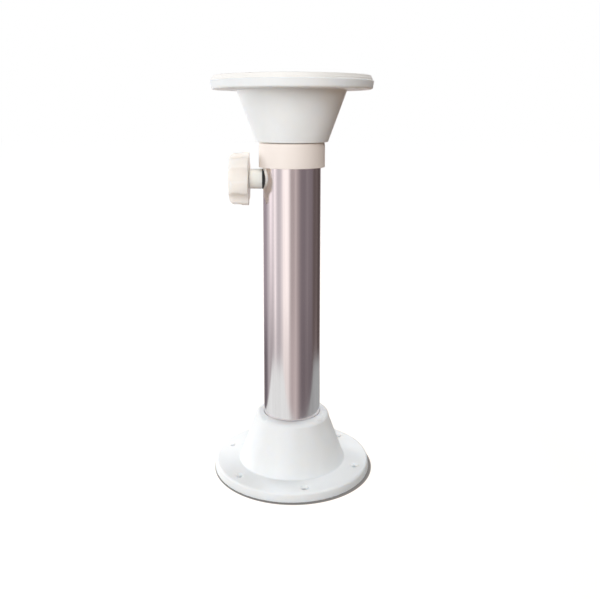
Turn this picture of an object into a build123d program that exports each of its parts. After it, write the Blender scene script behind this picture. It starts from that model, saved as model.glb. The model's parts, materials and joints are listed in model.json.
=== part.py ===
from build123d import *
from math import hypot
import os

# A telescopic table pedestal: a fixed outer tube in a moulded foot, and an inner tube
# that slides and turns in it and carries the same moulding upside down under the table.
# Units are millimetres. +Z is up, the origin is the centre of the foot on the floor,
# and the clamp knob points towards -X.

# Tubes
outer_tube_radius = 30.0
outer_tube_wall = 2.0
outer_tube_length = 329.6
inner_tube_wall = 2.0
gap_between_tubes = 3.0
gap_above_plug = 3.9

# Clearances, each on the radius or across one gap
seat_clearance = 0.1
running_clearance = 0.08
thrust_clearance = 0.15
screw_clearance = 0.05
lip_gap = 0.6

# Moulded flange, the same for the foot and for the table end
flange_height = 61.5
rim_radius = 83.0
rim_draft = 1.4
rim_height = 8.8
rim_round = 2.4
rim_foot_round = 0.8
land_width = 26.7
plate_thickness = 4.0
moulding_wall = 3.5
lip_width = 6.9
cone_foot_round = 1.5
lip_outer_round = 1.0
lip_inner_round = 0.4
lip_depth = 5.0
socket_floor_height = 14.3
socket_floor_thickness = 5.0
rib_count = 12
rib_thickness = 2.6
rib_setback = 1.0

# Mounting holes through the flange
hole_count = 6
hole_inset = 12.5
hole_radius = 2.75
hole_sink_radius = 4.6
hole_pillar_wall = 1.4
first_hole_angle = 40.0

# Plate between the upper flange and the table
plate_setback = 1.5
plate_height = 5.0
plate_tier_height = 2.2
plate_tier_step = 0.8
plate_tier_slope = 0.7
plate_edge_round = 1.0
plate_opening_radius = 21.0
plate_screw_count = 3
plate_screw_length = 14.0
plate_screw_head_radius = 3.8
plate_screw_shank_radius = 1.9
plate_screw_boss_radius = 4.6
plate_screw_boss_height = 18.0

# Plug, nut, screws, bolt and washer that hold a tube's end in its flange
plug_height = 22.0
plug_setback = 0.5
plug_screw_count = 3
plug_screw_length = 11.0
plug_screw_head_radius = 3.6
plug_screw_shank_radius = 1.8
plug_screw_depth = 0.35
plug_screw_height = 9.0
bolt_radius = 3.95
bolt_length = 30.0
bolt_head_flats = 13.0
bolt_head_height = 5.3
bolt_head_bevel = 0.2
bolt_hole_radius = 4.5
nut_height = 6.5
nut_bore_radius = 4.02
washer_radius = 12.0
washer_thickness = 1.6
recess_width = 1.0
recess_depth = 1.3

# Guide collar on the outer tube's upper end
collar_skirt_wall = 3.9
collar_skirt_length = 21.0
collar_end_wall = 4.0
collar_round = 0.6
collar_taper_height = 3.4
collar_taper = 0.5
collar_bore_chamfer = 0.8
sleeve_below_clamp = 15.25

# Lower guide on the inner tube, between two wire rings
guide_length = 26.0
guide_above_tube_end = 4.6
guide_land_length = 7.0
guide_relief = 0.7
guide_chamfer = 0.6
ring_wire_radius = 1.0
ring_groove_depth = 0.7
ring_mouth = 9.0

# Clamp
clamp_below_collar = 12.35
saddle_washer_crown = 0.5
boss_radius = 10.3
boss_length = 13.0
boss_end_wall = 1.5
boss_round = 0.5
insert_radius = 6.5
insert_bore_radius = 5.0
insert_flange_radius = 9.8
insert_flange_thickness = 1.5
stud_radius = 4.92
stud_nose_radius = 2.0
stud_nose_length = 3.0
stud_head_flats = 17.0
stud_head_height = 6.4
pad_radius = 4.1
pad_length = 5.6
pad_gap = 0.3

# Clamp knob
knob_gap = 0.6
knob_thickness = 20.3
knob_radius = 27.5
knob_band_width = 7.4
knob_band_step = 0.9
knob_lobe_count = 6
knob_valley_depth = 4.2
knob_valley_radius = 11.0
knob_lobe_round = 3.5
knob_front_round = 5.5
knob_rear_round = 0.8
knob_lobe_angle = 14.0
knob_head_seat = 11.4

# Heights worked out from the sizes above
outer_tube_top = socket_floor_height + outer_tube_length
collar_bottom = outer_tube_top - collar_skirt_length
collar_top = outer_tube_top + collar_end_wall
clamp_height = collar_bottom - clamp_below_collar
sleeve_bottom = clamp_height - sleeve_below_clamp
upper_flange_face = collar_top + lip_gap + flange_height
inner_tube_top = upper_flange_face - socket_floor_height
inner_tube_bottom = socket_floor_height + plug_setback + plug_height + gap_above_plug
guide_bottom = inner_tube_bottom + guide_above_tube_end

# Radii worked out from the sizes above
outer_tube_bore = outer_tube_radius - outer_tube_wall
inner_tube_radius = outer_tube_bore - gap_between_tubes
inner_tube_bore = inner_tube_radius - inner_tube_wall
socket_radius = outer_tube_radius + seat_clearance
socket_outer_radius = socket_radius + moulding_wall
cone_mouth_radius = socket_radius + lip_width
cone_foot_radius = rim_radius - land_width
hole_circle_radius = rim_radius - hole_inset
hole_pillar_radius = hole_sink_radius + hole_pillar_wall
plate_radius = rim_radius - plate_setback
plate_screw_circle_radius = (socket_outer_radius + cone_foot_radius) / 2
collar_radius = outer_tube_radius + seat_clearance + collar_skirt_wall

# Distances along the clamp's axis worked out from the sizes above
boss_seat = outer_tube_radius + saddle_washer_crown
boss_end = boss_seat + boss_length
knob_rear = boss_end + knob_gap

# Where each group of pieces stands: the upper flange hangs upside down with its holes above
# the foot's, and the clamp is drawn with its own Z axis pointing outwards along the knob's stud
upper_end = Pos(0, 0, upper_flange_face) * Rot(0, 0, 2 * first_hole_angle) * Rot(180, 0, 0)
clamp_axis = Pos(0, 0, clamp_height) * Rot(0, -90, 0)

margin = 1.0
on_base = (Align.CENTER, Align.CENTER, Align.MIN)


def rod(radius, start, end):
    """A round bar on the Z axis between two heights."""
    return Pos(0, 0, start) * Cylinder(radius, end - start, align=on_base)


def tube(radius, bore, start, end):
    """A round bar with a bore right through it."""
    return rod(radius, start, end) - rod(bore, start - margin, end + margin)


def hexagon(flats, start, end):
    """A hexagonal bar on the Z axis, with its size across the flats."""
    profile = RegularPolygon(flats / 2, 6, major_radius=False)
    return Pos(0, 0, start) * extrude(profile, end - start)


def turned(corners, rounds=()):
    """A solid turned about the Z axis from (radius, height) corners, with chosen corners rounded."""
    face = Polygon(*corners, align=None)
    for corner, radius in rounds:
        vertex = face.vertices().sort_by_distance(Vector(*corner))[0]
        face = fillet(vertex, radius)
    return revolve(Plane.XZ * face, Axis.Z)


def around(count, radius, first_angle=0.0):
    """Places spaced evenly on a circle, each turned to face outwards."""
    return [Rot(0, 0, first_angle + 360 / count * i) * Pos(radius, 0, 0) for i in range(count)]


def countersunk_screw(head_radius, shank_radius, length, clearance=0.0):
    """A countersunk screw with its head's top at the origin, pointing down. With a clearance it
    is the cutter for that screw's hole."""
    head = head_radius + clearance
    shank = shank_radius + clearance
    tip = -length - clearance
    body = turned([(0, 0), (head, 0), (shank, shank - head), (shank, tip), (0, tip)])
    if clearance:
        return body + rod(head, 0, margin)
    recess = Box(recess_width, head_radius, recess_depth * 2)
    return body - recess - Rot(0, 0, 90) * recess


def cone_radius(height):
    """Outside radius of the flange's cone at a height above its mating face."""
    slope = (cone_foot_radius - cone_mouth_radius) / (flange_height - rim_height)
    return cone_foot_radius - slope * (height - rim_height)


def cone_wall_width():
    """Level width of the cone's wall, which leans."""
    run = cone_foot_radius - cone_mouth_radius
    rise = flange_height - rim_height
    return moulding_wall * hypot(run, rise) / rise


def plate_screw_places():
    """Where the plate's screws stand, each on a rib."""
    return around(plate_screw_count, plate_screw_circle_radius, first_hole_angle + 360 / rib_count)


def flange_moulding():
    """The moulded flange with its mating face at the origin: a hollow cone on a rimmed plate,
    with a socket for the tube, radial ribs, and pillars round the mounting holes."""
    skin = turned(
        [
            (0, 0),
            (rim_radius, 0),
            (rim_radius - rim_draft, rim_height),
            (cone_foot_radius, rim_height),
            (cone_mouth_radius, flange_height),
            (0, flange_height),
        ],
        [
            ((rim_radius, 0), rim_foot_round),
            ((rim_radius - rim_draft, rim_height), rim_round),
            ((cone_foot_radius, rim_height), cone_foot_round),
            ((cone_mouth_radius, flange_height), lip_outer_round),
        ],
    )
    plate_underside = rim_height - plate_thickness
    hollow_top = flange_height - lip_depth
    hollow = turned(
        [
            (socket_outer_radius, -margin),
            (rim_radius - moulding_wall, -margin),
            (rim_radius - moulding_wall, plate_underside),
            (cone_radius(plate_underside) - cone_wall_width(), plate_underside),
            (cone_radius(hollow_top) - cone_wall_width(), hollow_top),
            (socket_outer_radius, hollow_top),
        ]
    )
    socket = turned(
        [
            (0, socket_floor_height),
            (socket_radius, socket_floor_height),
            (socket_radius, flange_height - lip_inner_round),
            (socket_radius + lip_inner_round, flange_height),
            (socket_radius + lip_inner_round, flange_height + margin),
            (0, flange_height + margin),
        ]
    )
    under_floor = rod(socket_radius, -margin, socket_floor_height - socket_floor_thickness)
    bolt_hole = rod(bolt_hole_radius, 0, flange_height)
    body = skin - hollow - socket - under_floor - bolt_hole

    half_wall = moulding_wall / 2
    rib_top = hollow_top + half_wall
    rib_face = Polygon(
        (socket_radius + half_wall, rib_setback),
        (rim_radius - half_wall - rim_draft / 2, rib_setback),
        (rim_radius - half_wall - rim_draft, rim_height - half_wall),
        (cone_radius(rim_height) - half_wall, rim_height - half_wall),
        (cone_radius(rib_top) - half_wall, rib_top),
        (socket_radius + half_wall, rib_top),
        align=None,
    )
    rib = extrude(Plane.XZ * rib_face, rib_thickness / 2, both=True)
    for i in range(rib_count):
        body += Rot(0, 0, first_hole_angle + 360 / rib_count * i) * rib

    mounting_hole = turned(
        [
            (0, -margin),
            (hole_radius, -margin),
            (hole_radius, rim_height - hole_sink_radius + hole_radius),
            (hole_sink_radius, rim_height),
            (hole_sink_radius, rim_height + margin),
            (0, rim_height + margin),
        ]
    )
    for place in around(hole_count, hole_circle_radius, first_hole_angle):
        body += place * rod(hole_pillar_radius, 0, rim_height - plate_thickness / 2)
        body -= place * mounting_hole

    pilot = rod(plate_screw_shank_radius + screw_clearance, -margin, plate_screw_length)
    for place in plate_screw_places():
        body += place * rod(plate_screw_boss_radius, 0, plate_screw_boss_height)
        body -= place * pilot
    return body


def radial_screws(tube_radius, clearance=0.0):
    """The screws through a tube's wall into its plug, in the flange's frame, or their holes."""
    height = socket_floor_height + plug_setback + plug_screw_height
    places = around(plug_screw_count, tube_radius - plug_screw_depth)
    screw = countersunk_screw(plug_screw_head_radius, plug_screw_shank_radius, plug_screw_length, clearance)
    return [place * Pos(0, 0, height) * Rot(0, 90, 0) * screw for place in places]


def end_plug(tube_radius, bore):
    """The nylon plug inside a tube's end, with a pocket for its nut."""
    bottom = socket_floor_height + plug_setback
    top = bottom + plug_height
    plug = rod(bore - seat_clearance, bottom, top)
    plug = chamfer(plug.edges().filter_by(GeomType.CIRCLE), guide_chamfer)
    plug -= rod(bolt_radius + seat_clearance, bottom - margin, top)
    plug -= hexagon(bolt_head_flats + 2 * seat_clearance, top - nut_height, top + margin)
    for hole in radial_screws(tube_radius, screw_clearance):
        plug -= hole
    return plug


def end_nut():
    """The hexagon nut in the top of the plug's pocket."""
    top = socket_floor_height + plug_setback + plug_height
    bottom = top - nut_height
    return hexagon(bolt_head_flats, bottom, top) - rod(nut_bore_radius, bottom - margin, top + margin)


def end_washer():
    """The washer under the socket's floor."""
    top = socket_floor_height - socket_floor_thickness
    return tube(washer_radius, bolt_radius + seat_clearance, top - washer_thickness, top)


def end_bolt():
    """The hexagon bolt that draws the plug and its tube down into the socket."""
    seat = socket_floor_height - socket_floor_thickness - washer_thickness
    head = hexagon(bolt_head_flats, seat - bolt_head_height, seat)
    face_radius = bolt_head_flats / 2 - bolt_head_bevel
    bevel = Cone(face_radius, face_radius + bolt_head_height, bolt_head_height, align=on_base)
    head &= Pos(0, 0, seat - bolt_head_height) * bevel
    return head + rod(bolt_radius, seat - margin, seat + bolt_length)


def outer_tube():
    """The fixed tube, drilled for the plug's screws and for the clamp's insert."""
    body = tube(outer_tube_radius, outer_tube_bore, socket_floor_height, outer_tube_top)
    for hole in radial_screws(outer_tube_radius, screw_clearance):
        body -= hole
    return body - clamp_axis * rod(insert_radius + seat_clearance, 0, outer_tube_radius + margin)


def guide_collar():
    """The moulded collar: a cap over the tube's end and a sleeve inside it that guides the
    inner tube, with a round window for the clamp insert's flange."""
    skirt_bore = outer_tube_radius + seat_clearance
    sleeve_radius = outer_tube_bore - seat_clearance
    bore = inner_tube_radius + running_clearance
    body = turned(
        [
            (bore, sleeve_bottom),
            (sleeve_radius, sleeve_bottom),
            (sleeve_radius, outer_tube_top),
            (skirt_bore, outer_tube_top),
            (skirt_bore, collar_bottom),
            (collar_radius, collar_bottom),
            (collar_radius, collar_top - collar_taper_height),
            (collar_radius - collar_taper, collar_top),
            (bore + collar_bore_chamfer, collar_top),
            (bore, collar_top - collar_bore_chamfer),
        ],
        [
            ((collar_radius, collar_bottom), collar_round),
            ((collar_radius - collar_taper, collar_top), collar_round),
        ],
    )
    return body - clamp_axis * rod(insert_flange_radius + seat_clearance, 0, skirt_bore)


def saddle_washer():
    """The rubber washer between the round tube and the boss's flat end."""
    body = tube(boss_radius, insert_radius + seat_clearance, 0, boss_seat)
    return clamp_axis * body - rod(outer_tube_radius + screw_clearance, 0, outer_tube_top)


def clamp_boss():
    """The round boss that stands between the tube and the knob."""
    body = rod(boss_radius, boss_seat, boss_end)
    body = fillet(body.edges().group_by(Axis.Z)[-1], boss_round)
    body -= rod(insert_radius + seat_clearance, boss_seat - margin, boss_end - boss_end_wall)
    body -= rod(insert_bore_radius + seat_clearance, boss_seat, boss_end + margin)
    return clamp_axis * body


def clamp_insert():
    """The brass insert: a bored body through the tube's wall, and a curved flange that bears on
    the inside of the wall and takes the clamp's thrust."""
    flange_outer_radius = outer_tube_bore - screw_clearance
    flange = clamp_axis * rod(insert_flange_radius, 0, boss_seat)
    flange &= tube(flange_outer_radius, flange_outer_radius - insert_flange_thickness, 0, outer_tube_top)
    body = clamp_axis * rod(insert_radius, 0, boss_end - boss_end_wall - seat_clearance)
    body -= rod(flange_outer_radius - insert_flange_thickness / 2, 0, outer_tube_top)
    return flange + body - clamp_axis * rod(insert_bore_radius, 0, boss_end)


def clamp_pad():
    """The pad on the stud's nose, hollowed to the inner tube's curve."""
    tip = inner_tube_radius + pad_gap
    body = rod(pad_radius, tip - margin, tip + pad_length)
    body -= rod(stud_nose_radius + screw_clearance, tip + pad_length - stud_nose_length - seat_clearance,
                tip + pad_length + margin)
    return clamp_axis * body - rod(tip, 0, outer_tube_top)


def clamp_stud():
    """The hexagon-headed screw: its head is held in the knob and its nose carries the pad."""
    shoulder = inner_tube_radius + pad_gap + pad_length + seat_clearance
    seat = knob_rear + knob_head_seat
    body = rod(stud_radius, shoulder, seat + margin)
    body += rod(stud_nose_radius, shoulder - stud_nose_length, shoulder + margin)
    body += hexagon(stud_head_flats, seat, seat + stud_head_height)
    return clamp_axis * Rot(0, 0, knob_lobe_angle) * body


def lobed_outline(radius):
    """The knob's outline: a circle scooped by evenly spaced valleys, with rounded shoulders."""
    outline = Circle(radius)
    valley_circle_radius = radius - knob_valley_depth + knob_valley_radius
    for place in around(knob_lobe_count, valley_circle_radius, 180 / knob_lobe_count):
        outline -= place * Circle(knob_valley_radius)
    return fillet(outline.vertices(), knob_lobe_round)


def clamp_knob():
    """The lobed knob, with a wider band at its rear and a rounded front."""
    front_radius = knob_radius - knob_band_step
    band = extrude(lobed_outline(knob_radius), knob_band_width)
    band = fillet(band.faces().sort_by(Axis.Z)[0].edges(), knob_rear_round)
    grip = extrude(lobed_outline(front_radius), knob_thickness - knob_band_width)
    grip = Pos(0, 0, knob_band_width) * grip
    envelope = turned(
        [(0, 0), (front_radius, 0), (front_radius, knob_thickness), (0, knob_thickness)],
        [((front_radius, knob_thickness), knob_front_round)],
    )
    body = band + (grip & envelope)
    body -= rod(stud_radius + seat_clearance, -margin, knob_thickness)
    body -= hexagon(stud_head_flats + 2 * seat_clearance, knob_head_seat, knob_thickness + margin)
    return clamp_axis * Pos(0, 0, knob_rear) * Rot(0, 0, knob_lobe_angle) * body


def ring_heights():
    """Heights of the two wire rings, below and above the lower guide."""
    reach = ring_wire_radius + thrust_clearance
    return guide_bottom - reach, guide_bottom + guide_length + reach


def wire_ring(height, wire_radius):
    """A wire ring lying in its groove round the inner tube."""
    return Pos(0, 0, height) * Torus(inner_tube_radius - ring_groove_depth + ring_wire_radius, wire_radius)


def snap_ring(height):
    """A wire ring with its mouth open, so that it springs into the groove."""
    reach = 2 * inner_tube_radius
    mouth = Pos(-inner_tube_radius, 0, height) * Box(reach, ring_mouth, reach)
    return wire_ring(height, ring_wire_radius) - mouth


def inner_tube():
    """The sliding tube, grooved for the guide's rings and drilled for its plug's screws."""
    body = tube(inner_tube_radius, inner_tube_bore, inner_tube_bottom, inner_tube_top)
    for height in ring_heights():
        body -= wire_ring(height, ring_wire_radius + screw_clearance)
    for hole in radial_screws(inner_tube_radius, screw_clearance):
        body -= upper_end * hole
    return body


def lower_guide():
    """The bush on the inner tube's lower end, with a bearing land at each end."""
    radius = outer_tube_bore - running_clearance
    bore = inner_tube_radius + running_clearance
    top = guide_bottom + guide_length
    relief = radius - guide_relief
    return turned(
        [
            (bore, guide_bottom),
            (radius - guide_chamfer, guide_bottom),
            (radius, guide_bottom + guide_chamfer),
            (radius, guide_bottom + guide_land_length),
            (relief, guide_bottom + guide_land_length + guide_relief),
            (relief, top - guide_land_length - guide_relief),
            (radius, top - guide_land_length),
            (radius, top - guide_chamfer),
            (radius - guide_chamfer, top),
            (bore, top),
        ]
    )


def reducer():
    """The sleeve that fills the upper socket round the thinner inner tube."""
    return tube(socket_radius - seat_clearance, inner_tube_radius + seat_clearance, socket_floor_height,
                flange_height - lip_inner_round)


def plate_screws(clearance=0.0):
    """The screws that hold the plate to the flange's bosses, in the flange's frame, or their holes."""
    seat = Pos(0, 0, -plate_height) * Rot(180, 0, 0)
    screw = countersunk_screw(plate_screw_head_radius, plate_screw_shank_radius, plate_screw_length,
                              clearance)
    return [place * seat * screw for place in plate_screw_places()]


def table_plate():
    """The plate between the upper flange and the table, with a stepped edge, in the flange's frame."""
    tier_radius = plate_radius - plate_tier_step
    body = turned(
        [
            (plate_opening_radius, 0),
            (plate_radius, 0),
            (plate_radius, -plate_tier_height),
            (tier_radius, -plate_tier_height),
            (tier_radius - plate_tier_slope, -plate_height),
            (plate_opening_radius, -plate_height),
        ],
        [
            ((plate_radius, -plate_tier_height), plate_edge_round / 2),
            ((tier_radius - plate_tier_slope, -plate_height), plate_edge_round),
        ],
    )
    for place in around(hole_count, hole_circle_radius, first_hole_angle):
        body -= place * rod(hole_radius, -plate_height - margin, margin)
    for hole in plate_screws(screw_clearance):
        body -= hole
    return body


def write(name, *solids):
    """Writes one node from its solids."""
    shape = solids[0] if len(solids) == 1 else Compound(children=list(solids))
    export_step(shape, f"parts/{name}.step")


os.makedirs("parts", exist_ok=True)

flange = flange_moulding()

write("base_flange", flange)
write("base_plug", end_plug(outer_tube_radius, outer_tube_bore))
write("base_plug_screws", *radial_screws(outer_tube_radius))
write("base_plug_nut", end_nut())
write("base_tie_washer", end_washer())
write("base_tie_bolt", end_bolt())
write("outer_tube", outer_tube())
write("guide_collar", guide_collar())
write("saddle_washer", saddle_washer())
write("clamp_boss", clamp_boss())
write("clamp_insert", clamp_insert())
write("clamp_pad", clamp_pad())
write("clamp_stud", clamp_stud())
write("clamp_knob", clamp_knob())
write("inner_tube", inner_tube())
write("lower_guide", lower_guide())
write("lower_snap_ring", snap_ring(ring_heights()[0]))
write("upper_snap_ring", snap_ring(ring_heights()[1]))
write("top_flange", upper_end * flange)
write("top_reducer", upper_end * reducer())
write("top_plug", upper_end * end_plug(inner_tube_radius, inner_tube_bore))
write("top_plug_screws", *[upper_end * screw for screw in radial_screws(inner_tube_radius)])
write("top_plug_nut", upper_end * end_nut())
write("top_tie_washer", upper_end * end_washer())
write("top_tie_bolt", upper_end * end_bolt())
write("table_plate", upper_end * table_plate())
write("table_plate_screws", *[upper_end * screw for screw in plate_screws()])
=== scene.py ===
import json
from math import cos, pi, radians, sin

import bpy
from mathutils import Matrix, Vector

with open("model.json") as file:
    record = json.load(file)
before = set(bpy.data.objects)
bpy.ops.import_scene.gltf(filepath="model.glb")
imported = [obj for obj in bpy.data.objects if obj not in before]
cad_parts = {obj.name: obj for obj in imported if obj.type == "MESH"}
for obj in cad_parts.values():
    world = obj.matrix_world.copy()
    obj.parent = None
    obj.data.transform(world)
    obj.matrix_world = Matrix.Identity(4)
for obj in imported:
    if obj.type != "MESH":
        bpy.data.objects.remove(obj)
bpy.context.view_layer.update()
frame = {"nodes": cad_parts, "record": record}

# Camera, from the photograph's perspective
CAMERA_PLACE = (0.0, -0.72929, 0.37898)
CAMERA_TILT_DOWN = 7.909
CAMERA_LENS = 42.50
CAMERA_SENSOR = 36.0
CAMERA_SHIFT = (0.01351, -0.14961)

# Floor: the colour that takes the light changes from left to right, and the glow that only the
# camera sees grows from the object outwards
FLOOR_SIZE = 16.0
FLOOR_LEFT_COLOR = (0.40, 0.375, 0.35)
FLOOR_RIGHT_COLOR = (0.38, 0.27, 0.19)
FLOOR_COLOR_SPAN = (-0.3, 0.3)
FLOOR_GLOW_SPAN = (0.3, 1.5)
FLOOR_NEAR_GLOW = 0.80
FLOOR_FAR_GLOW = 1.0
# Painted contact shadow: the dark line where the foot stands is the edge of a dark disc painted
# on the floor, a little off the foot's middle
PAINTED_SHADOW_MIDDLE = (0.0013, -0.0017)
PAINTED_SHADOW_RADIUS = 0.0844
PAINTED_SHADOW_SOFTNESS = 0.0007
PAINTED_SHADOW_LEVEL = 0.20

# Glowing board under the object, seen only in reflections, which the metal and the gloss
# reflect: a painted reflection of the lit floor. Its front edge lies at
# FRONT from the object's middle, square to this bearing, and its back edge at BACK on the
# other side. It fades out at the distance END, and its right side has painted shade for the
# object's shadow.
BOARD_BEARING = 30.0
BOARD_FRONT = 0.150
BOARD_BACK = 0.150
BOARD_END = 0.355
BOARD_EDGE_SOFTNESS = 0.008
BOARD_END_SOFTNESS = 0.04
BOARD_LIT = (0.80, 0.83, 0.83)
BOARD_SHADED = (0.38, 0.395, 0.40)
BOARD_SHADE_SPAN = (-0.04, 0.10)

# What the metal and the gloss reflect: the room's walls and the soft panels that stand in it.
# Bearings are in degrees round the object, from the camera's side at 0, negative to its left.
# Each colour comes with the share of it that is left low down, near the floor.
FAR_LEFT_CORNER = ((0.35, 0.30, 0.335), 0.42)
LEFT_WALL = ((0.60, 0.55, 0.575), 0.78)
MIDDLE_WALL = ((0.43, 0.365, 0.365), 1.15)
RIGHT_WALL = ((0.205, 0.170, 0.186), 0.80)
FAR_RIGHT_CORNER = ((0.125, 0.096, 0.094), 1.10)
WALL_JOINS = [
    (-128.0, -105.0, LEFT_WALL),
    (-18.0, -2.0, MIDDLE_WALL),
    (15.0, 42.0, RIGHT_WALL),
    (82.0, 100.0, FAR_RIGHT_CORNER),
]
# A panel has its middle, its half width, the softness of its edges, and its colour and share
PANELS = [
    (-71.0, 5.5, 6.0, (1.16, 1.06, 1.07), 0.58),
    (-24.0, 14.0, 8.0, (1.16, 1.06, 1.035), 0.72),
    (14.0, 3.0, 6.0, (0.60, 0.51, 0.505), 0.98),
    (64.0, 4.0, 9.0, (0.275, 0.232, 0.244), 0.80),
    (116.0, 5.0, 8.0, (0.150, 0.118, 0.117), 1.40),
    (135.0, 5.0, 7.0, (0.065, 0.048, 0.047), 1.00),
    (-168.0, 12.0, 9.0, (0.80, 0.75, 0.76), 1.00),
    (168.0, 12.0, 9.0, (0.80, 0.75, 0.76), 1.00),
]
WINDOW = (-92.0, 6.5, 9.0)
WINDOW_COLOR = (1.30, 1.17, 1.21)
WINDOW_LOW_SHARE = 0.25
# The slopes of the views between which the walls and the window change to their low colours
LOW_VIEW = -0.33
WALL_FULL_VIEW = -0.25
WINDOW_FULL_VIEW = -0.13

# Soft lamps, each with its bearing, height angle, size and power. All stand at one distance
# from a point on the object's axis, and point at it.
LAMP_COLOR = (0.955, 0.985, 1.0)
LAMP_AIM_HEIGHT = 0.22
LAMP_DISTANCE = 2.0
LAMPS = {
    "front": (0.0, 25.0, 1.2, 30.1),
    "back_right": (135.0, 50.0, 1.4, 27.9),
    "back_left": (-135.0, 25.0, 1.2, 11.5),
    "back_left_low": (-135.0, 4.0, 0.7, 30.8),
    "left_low": (-90.0, 4.0, 0.7, 9.0),
    "front_left_low": (-45.0, 4.0, 0.7, 9.3),
}

# The foot's lip, which the CAD node has flat with a small round. Here its inner edge is lowered,
# and the round is stretched to new radii and heights, so that the lip falls away from the tube.
LIP_INNER_RADIUS = 0.0325
LIP_INNER_HEIGHT = 0.0608
LIP_INNER_DROP = 0.0012
LIP_ROUND_RADII = (0.03627, 0.03722)
LIP_ROUND_HEIGHTS = (0.0615, 0.06081)
LIP_ROUND_MARGIN = 0.0005
LIP_NEW_RADII = (0.0330, 0.0396)
LIP_NEW_HEIGHTS = (0.0599, 0.0556)

# The numbers of the Mix node's colour sockets, since their names stand for other sockets too
MIX_FIRST_COLOR = 6
MIX_SECOND_COLOR = 7
MIX_RESULT_COLOR = 2


class Graph:
    """A short way to build one node tree."""

    def __init__(self, tree):
        self.tree = tree
        self.tree.nodes.clear()

    def add(self, kind, **settings):
        node = self.tree.nodes.new(kind)
        for key, value in settings.items():
            setattr(node, key, value)
        return node

    def link(self, source, target):
        self.tree.links.new(source, target)

    def put(self, socket, value):
        """Sets a socket to a number or a colour, or links it to another node's output."""
        if isinstance(value, bpy.types.NodeSocket):
            self.link(value, socket)
        elif isinstance(value, tuple) and socket.type == "RGBA":
            socket.default_value = (*value, 1)
        else:
            socket.default_value = value

    def math(self, operation, *values):
        node = self.add("ShaderNodeMath", operation=operation)
        for socket, value in zip(node.inputs, values):
            self.put(socket, value)
        return node.outputs[0]

    def product(self, *values):
        result = values[0]
        for value in values[1:]:
            result = self.math("MULTIPLY", result, value)
        return result

    def blend(self, first, second, share):
        """Two values mixed, with this share of the first one."""
        rest = self.math("MULTIPLY", second, 1 - share)
        return self.math("MULTIPLY_ADD", first, share, rest)

    def mix_color(self, factor, first, second):
        node = self.add("ShaderNodeMix", data_type="RGBA")
        self.put(node.inputs["Factor"], factor)
        self.put(node.inputs[MIX_FIRST_COLOR], first)
        self.put(node.inputs[MIX_SECOND_COLOR], second)
        return node.outputs[MIX_RESULT_COLOR]

    def mix_shader(self, factor, first, second):
        node = self.add("ShaderNodeMixShader")
        self.put(node.inputs["Fac"], factor)
        self.link(first.outputs[0], node.inputs[1])
        self.link(second.outputs[0], node.inputs[2])
        return node

    def spread(self, value, low, high, to_low=0.0, to_high=1.0, smooth=False):
        """A value moved from one range to another, and clamped there."""
        kind = "SMOOTHSTEP" if smooth else "LINEAR"
        node = self.add("ShaderNodeMapRange", interpolation_type=kind)
        for socket, entry in zip(node.inputs, (value, low, high, to_low, to_high)):
            self.put(socket, entry)
        return node.outputs[0]

    def split(self, vector):
        node = self.add("ShaderNodeSeparateXYZ")
        self.link(vector, node.inputs[0])
        return node.outputs

    def distance(self, place, x, y):
        """How far a place is from a point on the floor."""
        node = self.add("ShaderNodeVectorMath", operation="DISTANCE")
        self.link(place, node.inputs[0])
        node.inputs[1].default_value = (x, y, 0)
        return node.outputs["Value"]

    def object_point(self, stretch):
        """A point on the object in metres, with each axis stretched."""
        place = self.add("ShaderNodeTexCoord").outputs["Object"]
        mapping = self.add("ShaderNodeMapping")
        self.link(place, mapping.inputs["Vector"])
        mapping.inputs["Scale"].default_value = stretch
        return mapping.outputs["Vector"]

    def noise(self, scale, detail=2.0, roughness=0.5, stretch=(1, 1, 1)):
        node = self.add("ShaderNodeTexNoise")
        self.link(self.object_point(stretch), node.inputs["Vector"])
        node.inputs["Scale"].default_value = scale
        node.inputs["Detail"].default_value = detail
        node.inputs["Roughness"].default_value = roughness
        return node.outputs["Fac"]

    def bump(self, height, distance, strength, under=None):
        node = self.add("ShaderNodeBump")
        self.link(height, node.inputs["Height"])
        node.inputs["Distance"].default_value = distance
        node.inputs["Strength"].default_value = strength
        if under is not None:
            self.link(under, node.inputs["Normal"])
        return node.outputs["Normal"]


def surface(name, metallic=0.0):
    """A new material with a plain Principled shader."""
    material = bpy.data.materials.new(name)
    material.use_nodes = True
    graph = Graph(material.node_tree)
    shader = graph.add("ShaderNodeBsdfPrincipled")
    shader.inputs["Metallic"].default_value = metallic
    output = graph.add("ShaderNodeOutputMaterial")
    graph.link(shader.outputs["BSDF"], output.inputs["Surface"])
    return material, graph, shader


def moulded_plastic(name, color, shade, roughness, depth=0.0):
    """Satin injection-moulded plastic: faint flow clouding, a fine skin and soft gloss changes.
    Depth is how far light goes into a milky plastic, in metres."""
    material, graph, shader = surface(name)
    clouds = graph.spread(graph.noise(scale=18.0, detail=3.0), low=0.35, high=0.65)
    streaks = graph.noise(scale=60.0, detail=4.0, roughness=0.6, stretch=(1, 1, 0.4))
    flow = graph.spread(streaks, low=0.4, high=0.6)
    tint = graph.blend(flow, clouds, share=0.35)
    graph.put(shader.inputs["Base Color"], graph.mix_color(tint, color, shade))

    smoother = roughness - 0.05
    rougher = roughness + 0.06
    patches = graph.noise(scale=140.0, detail=3.0)
    gloss = graph.spread(patches, low=0.3, high=0.7, to_low=smoother, to_high=rougher)
    graph.put(shader.inputs["Roughness"], gloss)

    skin = graph.bump(graph.noise(scale=1900.0), distance=0.00003, strength=0.35)
    sink = graph.noise(scale=45.0, detail=1.0)
    wave = graph.bump(sink, distance=0.0004, strength=0.12, under=skin)
    graph.put(shader.inputs["Normal"], wave)
    shader.inputs["IOR"].default_value = 1.49
    if depth:
        shader.inputs["Subsurface Weight"].default_value = 0.6
        shader.inputs["Subsurface Radius"].default_value = (1.0, 0.9, 0.8)
        shader.inputs["Subsurface Scale"].default_value = depth
    return material


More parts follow.
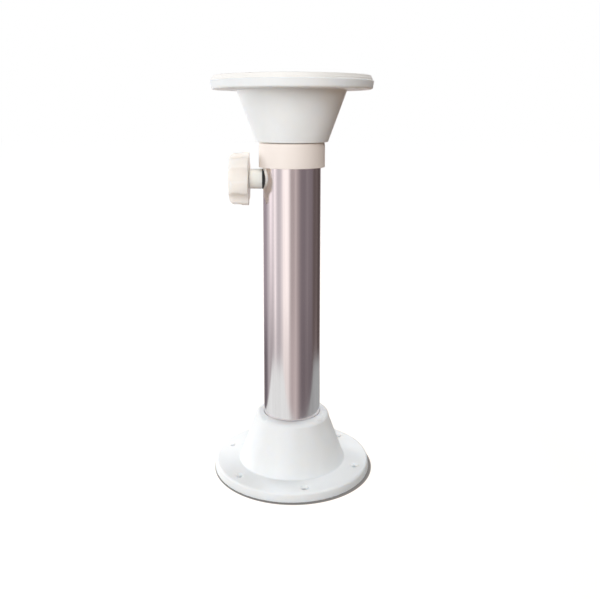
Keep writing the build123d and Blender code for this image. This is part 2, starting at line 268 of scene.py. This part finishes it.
def drawn_aluminium(name, color, shade, roughness):
    """Polished, clear-anodised tube: fine draw lines along it and slow changes in its polish."""
    material, graph, shader = surface(name, metallic=1.0)
    fine = graph.noise(scale=900.0, detail=3.0, roughness=0.6, stretch=(1, 1, 0.006))
    broad = graph.noise(scale=170.0, stretch=(1, 1, 0.012))
    haze = graph.noise(scale=22.0, detail=3.0, stretch=(1, 1, 0.35))
    lines = graph.blend(fine, broad, share=0.5)
    tint = graph.spread(lines, low=0.35, high=0.65)
    graph.put(shader.inputs["Base Color"], graph.mix_color(tint, color, shade))

    smoother = roughness - 0.05
    rougher = roughness + 0.07
    polish = graph.blend(fine, haze, share=0.4)
    gloss = graph.spread(polish, low=0.3, high=0.7, to_low=smoother, to_high=rougher)
    graph.put(shader.inputs["Roughness"], gloss)
    graph.put(shader.inputs["Normal"], graph.bump(lines, distance=0.00004, strength=0.3))
    return material


def turned_metal(name, color, shade, roughness):
    """Plain machined metal with fine marks."""
    material, graph, shader = surface(name, metallic=1.0)
    marks = graph.noise(scale=1200.0, detail=3.0, roughness=0.6, stretch=(1, 1, 0.2))
    stains = graph.noise(scale=90.0, detail=3.0)
    tint = graph.spread(stains, low=0.35, high=0.65)
    graph.put(shader.inputs["Base Color"], graph.mix_color(tint, color, shade))

    smoother = roughness - 0.06
    rougher = roughness + 0.08
    gloss = graph.spread(marks, low=0.3, high=0.7, to_low=smoother, to_high=rougher)
    graph.put(shader.inputs["Roughness"], gloss)
    graph.put(shader.inputs["Normal"], graph.bump(marks, distance=0.00004, strength=0.3))
    return material


def dusty_rubber(name, color, dust_color):
    """Moulded rubber, matt with a little dust."""
    material, graph, shader = surface(name)
    dust = graph.spread(graph.noise(scale=400.0, detail=3.0), low=0.45, high=0.75)
    graph.put(shader.inputs["Base Color"], graph.mix_color(dust, color, dust_color))
    graph.put(shader.inputs["Roughness"], graph.spread(dust, 0, 1, to_low=0.55, to_high=0.8))
    grain = graph.bump(graph.noise(scale=1500.0), distance=0.00004, strength=0.4)
    graph.put(shader.inputs["Normal"], grain)
    return material


MATERIALS = {
    "white_moulding": moulded_plastic("white_moulding", color=(0.885, 0.885, 0.885),
                                      shade=(0.85, 0.85, 0.845), roughness=0.34, depth=0.003),
    "cream_moulding": moulded_plastic("cream_moulding", color=(0.90, 0.81, 0.755),
                                      shade=(0.87, 0.78, 0.72), roughness=0.38),
    "natural_nylon": moulded_plastic("natural_nylon", color=(0.80, 0.78, 0.70),
                                     shade=(0.74, 0.72, 0.63), roughness=0.45),
    "polished_aluminium": drawn_aluminium("polished_aluminium", color=(0.93, 0.89, 0.89),
                                          shade=(0.85, 0.81, 0.81), roughness=0.16),
    "stainless_steel": turned_metal("stainless_steel", color=(0.66, 0.65, 0.63),
                                    shade=(0.58, 0.57, 0.55), roughness=0.28),
    "brass": turned_metal("brass", color=(0.78, 0.58, 0.26),
                          shade=(0.66, 0.47, 0.19), roughness=0.3),
    "black_rubber": dusty_rubber("black_rubber", color=(0.012, 0.012, 0.013),
                                 dust_color=(0.05, 0.047, 0.045)),
}

# Mouldings that get their own colour apart from the rest of their slot. The knob's and the
# boss's colours are partly their plastic's
# tone and partly painted light: they are set lighter to make up for the shade they stand in.
NODE_MATERIALS = {
    "clamp_knob": moulded_plastic("knob_moulding", color=(0.92, 0.85, 0.80),
                                  shade=(0.90, 0.825, 0.77), roughness=0.36, depth=0.016),
    "clamp_boss": moulded_plastic("boss_moulding", color=(0.95, 0.93, 0.87),
                                  shade=(0.93, 0.91, 0.84), roughness=0.36, depth=0.004),
    "table_plate": moulded_plastic("plate_moulding", color=(0.93, 0.895, 0.86),
                                   shade=(0.90, 0.865, 0.825), roughness=0.38),
}


def dress_nodes():
    """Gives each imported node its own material, or that of its slot."""
    for part in frame["record"]["subparts"]:
        node = frame["nodes"][part["node"]]
        material = NODE_MATERIALS.get(part["node"], MATERIALS[part["material_slot"]])
        node.data.materials.clear()
        node.data.materials.append(material)


def round_lip(node):
    """Gives the foot a modifier that lowers and rounds its lip, and leaves the rest."""
    tree = bpy.data.node_groups.new("rounded_lip", "GeometryNodeTree")
    for direction in ("INPUT", "OUTPUT"):
        tree.interface.new_socket("Geometry", in_out=direction,
                                  socket_type="NodeSocketGeometry")
    graph = Graph(tree)
    x, y, z = graph.split(graph.add("GeometryNodeInputPosition").outputs[0])
    squares = graph.math("ADD", graph.math("MULTIPLY", x, x), graph.math("MULTIPLY", y, y))
    radius = graph.math("SQRT", squares)
    inner = graph.math("MULTIPLY", graph.math("LESS_THAN", radius, LIP_INNER_RADIUS),
                       graph.math("GREATER_THAN", z, LIP_INNER_HEIGHT))
    least_radius = LIP_ROUND_RADII[0] - LIP_ROUND_MARGIN
    least_height = LIP_ROUND_HEIGHTS[1] - LIP_ROUND_MARGIN
    outer = graph.math("MULTIPLY", graph.math("GREATER_THAN", radius, least_radius),
                       graph.math("GREATER_THAN", z, least_height))

    new_radius = graph.spread(radius, *LIP_ROUND_RADII, *LIP_NEW_RADII)
    new_height = graph.spread(z, *LIP_ROUND_HEIGHTS, *LIP_NEW_HEIGHTS)
    out = graph.math("MULTIPLY", outer, graph.math("SUBTRACT", new_radius, radius))
    share = graph.math("DIVIDE", out, radius)
    up = graph.math("MULTIPLY", outer, graph.math("SUBTRACT", new_height, z))
    drop = graph.math("MULTIPLY", inner, LIP_INNER_DROP)
    offset = graph.add("ShaderNodeCombineXYZ")
    graph.link(graph.math("MULTIPLY", x, share), offset.inputs["X"])
    graph.link(graph.math("MULTIPLY", y, share), offset.inputs["Y"])
    graph.link(graph.math("SUBTRACT", up, drop), offset.inputs["Z"])

    move = graph.add("GeometryNodeSetPosition")
    graph.link(graph.add("NodeGroupInput").outputs[0], move.inputs["Geometry"])
    graph.link(offset.outputs[0], move.inputs["Offset"])
    graph.link(move.outputs[0], graph.add("NodeGroupOutput").inputs[0])
    node.modifiers.new("rounded_lip", "NODES").node_group = tree


def lit_floor(graph, place, is_camera_ray):
    """The pale floor that takes shadows, glows to the camera, and has a painted contact shadow
    under the foot.
    """
    # clear is the painted contact shadow: inside the disc it darkens both the floor's colour and
    # its glow
    start = PAINTED_SHADOW_RADIUS - PAINTED_SHADOW_SOFTNESS
    end = PAINTED_SHADOW_RADIUS + PAINTED_SHADOW_SOFTNESS
    clear = graph.spread(graph.distance(place, *PAINTED_SHADOW_MIDDLE), start, end,
                         to_low=PAINTED_SHADOW_LEVEL, smooth=True)
    across = graph.spread(graph.split(place)["X"], *FLOOR_COLOR_SPAN)
    color = graph.mix_color(across, FLOOR_LEFT_COLOR, FLOOR_RIGHT_COLOR)
    diffuse = graph.add("ShaderNodeBsdfDiffuse")
    graph.put(diffuse.inputs["Color"], graph.mix_color(clear, (0, 0, 0), color))
    outwards = graph.spread(graph.distance(place, 0, 0), *FLOOR_GLOW_SPAN,
                            to_low=FLOOR_NEAR_GLOW, to_high=FLOOR_FAR_GLOW)
    glow = graph.add("ShaderNodeEmission")
    graph.put(glow.inputs["Strength"], graph.product(outwards, is_camera_ray, clear))
    both = graph.add("ShaderNodeAddShader")
    graph.link(diffuse.outputs[0], both.inputs[0])
    graph.link(glow.outputs[0], both.inputs[1])
    return both


def glowing_reflection_board(graph, place):
    """The glowing board that reflections see under the object, a painted reflection of the lit
    floor, and nothing round it.
    """
    x, y, _ = graph.split(place)
    bearing = radians(BOARD_BEARING)
    across = graph.math("ADD", graph.math("MULTIPLY", x, sin(bearing)),
                        graph.math("MULTIPLY", y, -cos(bearing)))
    soft = BOARD_EDGE_SOFTNESS
    in_front = graph.spread(across, BOARD_FRONT + soft, BOARD_FRONT - soft, smooth=True)
    behind = graph.spread(across, -BOARD_BACK - soft, -BOARD_BACK + soft, smooth=True)
    near = graph.spread(graph.distance(place, 0, 0), BOARD_END + BOARD_END_SOFTNESS,
                        BOARD_END - BOARD_END_SOFTNESS, smooth=True)
    shade = graph.spread(x, *BOARD_SHADE_SPAN, smooth=True)
    # The board glows with painted light, and its right side with painted shade
    board = graph.add("ShaderNodeEmission")
    graph.put(board.inputs["Color"], graph.mix_color(shade, BOARD_LIT, BOARD_SHADED))
    beside = graph.add("ShaderNodeBsdfTransparent")
    return graph.mix_shader(graph.product(in_front, behind, near), beside, board)


def make_floor():
    """A floor that is white to the camera with a soft shadow on it, and to reflections a
    glowing board of painted light and shade."""
    bpy.ops.mesh.primitive_plane_add(size=FLOOR_SIZE)
    floor = bpy.context.object
    floor.name = "studio_floor"
    material = bpy.data.materials.new("studio_floor")
    material.use_nodes = True
    graph = Graph(material.node_tree)
    place = graph.add("ShaderNodeTexCoord").outputs["Object"]
    path = graph.add("ShaderNodeLightPath").outputs
    seen = lit_floor(graph, place, path["Is Camera Ray"])
    both = graph.mix_shader(path["Is Glossy Ray"], seen, glowing_reflection_board(graph, place))
    output = graph.add("ShaderNodeOutputMaterial")
    graph.link(both.outputs[0], output.inputs["Surface"])
    floor.data.materials.append(material)


def room_color(graph):
    """The colour of the room in each direction: walls, window and soft panels."""
    x, y, z = graph.split(graph.add("ShaderNodeTexCoord").outputs["Generated"])
    towards_camera = graph.math("MULTIPLY", y, -1.0)
    angle = graph.math("ARCTAN2", x, towards_camera)
    bearing = graph.math("MULTIPLY", angle, 180 / pi)
    wall_height = graph.spread(z, LOW_VIEW, WALL_FULL_VIEW)
    window_height = graph.spread(z, LOW_VIEW, WINDOW_FULL_VIEW)

    def shaded(color, low_share, height):
        """A colour that keeps only a share of itself low down."""
        return graph.mix_color(height, tuple(low_share * value for value in color), color)

    def panel(below, middle, half_width, softness, color):
        """One soft vertical panel laid over what is behind it."""
        away = graph.math("ABSOLUTE", graph.math("SUBTRACT", bearing, middle))
        mask = graph.spread(away, half_width + softness, half_width - softness, smooth=True)
        return graph.mix_color(mask, below, color)

    room = shaded(*FAR_LEFT_CORNER, wall_height)
    for start, end, wall in WALL_JOINS:
        join = graph.spread(bearing, start, end, smooth=True)
        room = graph.mix_color(join, room, shaded(*wall, wall_height))
    room = panel(room, *WINDOW, shaded(WINDOW_COLOR, WINDOW_LOW_SHARE, window_height))
    for middle, half_width, softness, color, low_share in PANELS:
        color = shaded(color, low_share, wall_height)
        room = panel(room, middle, half_width, softness, color)
    return room


def make_world():
    """White to the camera, the room to the metal and the gloss, and dark to the plastics,
    which the lamps alone light."""
    world = bpy.data.worlds.new("studio")
    bpy.context.scene.world = world
    world.use_nodes = True
    graph = Graph(world.node_tree)
    path = graph.add("ShaderNodeLightPath").outputs
    lit = graph.mix_color(path["Is Glossy Ray"], (0, 0, 0), room_color(graph))
    clear = graph.math("MAXIMUM", path["Is Camera Ray"], path["Is Transmission Ray"])
    background = graph.add("ShaderNodeBackground")
    graph.link(graph.mix_color(clear, lit, (1, 1, 1)), background.inputs["Color"])
    output = graph.add("ShaderNodeOutputWorld")
    graph.link(background.outputs[0], output.inputs["Surface"])


def make_lamp(name, bearing, height_angle, size, power):
    """A square soft lamp that points at the object's axis."""
    data = bpy.data.lights.new(name, "AREA")
    data.shape = "SQUARE"
    data.size = size
    data.energy = power
    data.color = LAMP_COLOR
    lamp = bpy.data.objects.new(name, data)
    bpy.context.scene.collection.objects.link(lamp)
    level = LAMP_DISTANCE * cos(radians(height_angle))
    away = Vector((level * sin(radians(bearing)), -level * cos(radians(bearing)),
                   LAMP_DISTANCE * sin(radians(height_angle))))
    lamp.location = Vector((0, 0, LAMP_AIM_HEIGHT)) + away
    lamp.rotation_euler = (-away).to_track_quat("-Z", "Y").to_euler()
    lamp.visible_camera = False
    lamp.visible_glossy = False


def make_camera():
    data = bpy.data.cameras.new("camera")
    data.sensor_width = CAMERA_SENSOR
    data.lens = CAMERA_LENS
    data.shift_x, data.shift_y = CAMERA_SHIFT
    camera = bpy.data.objects.new("camera", data)
    bpy.context.scene.collection.objects.link(camera)
    camera.location = CAMERA_PLACE
    camera.rotation_euler = (radians(90 - CAMERA_TILT_DOWN), 0, 0)
    bpy.context.scene.camera = camera


dress_nodes()
round_lip(frame["nodes"]["base_flange"])
make_floor()
make_world()
for name, values in LAMPS.items():
    make_lamp(name, *values)
make_camera()
bpy.context.scene.view_settings.view_transform = "Standard"
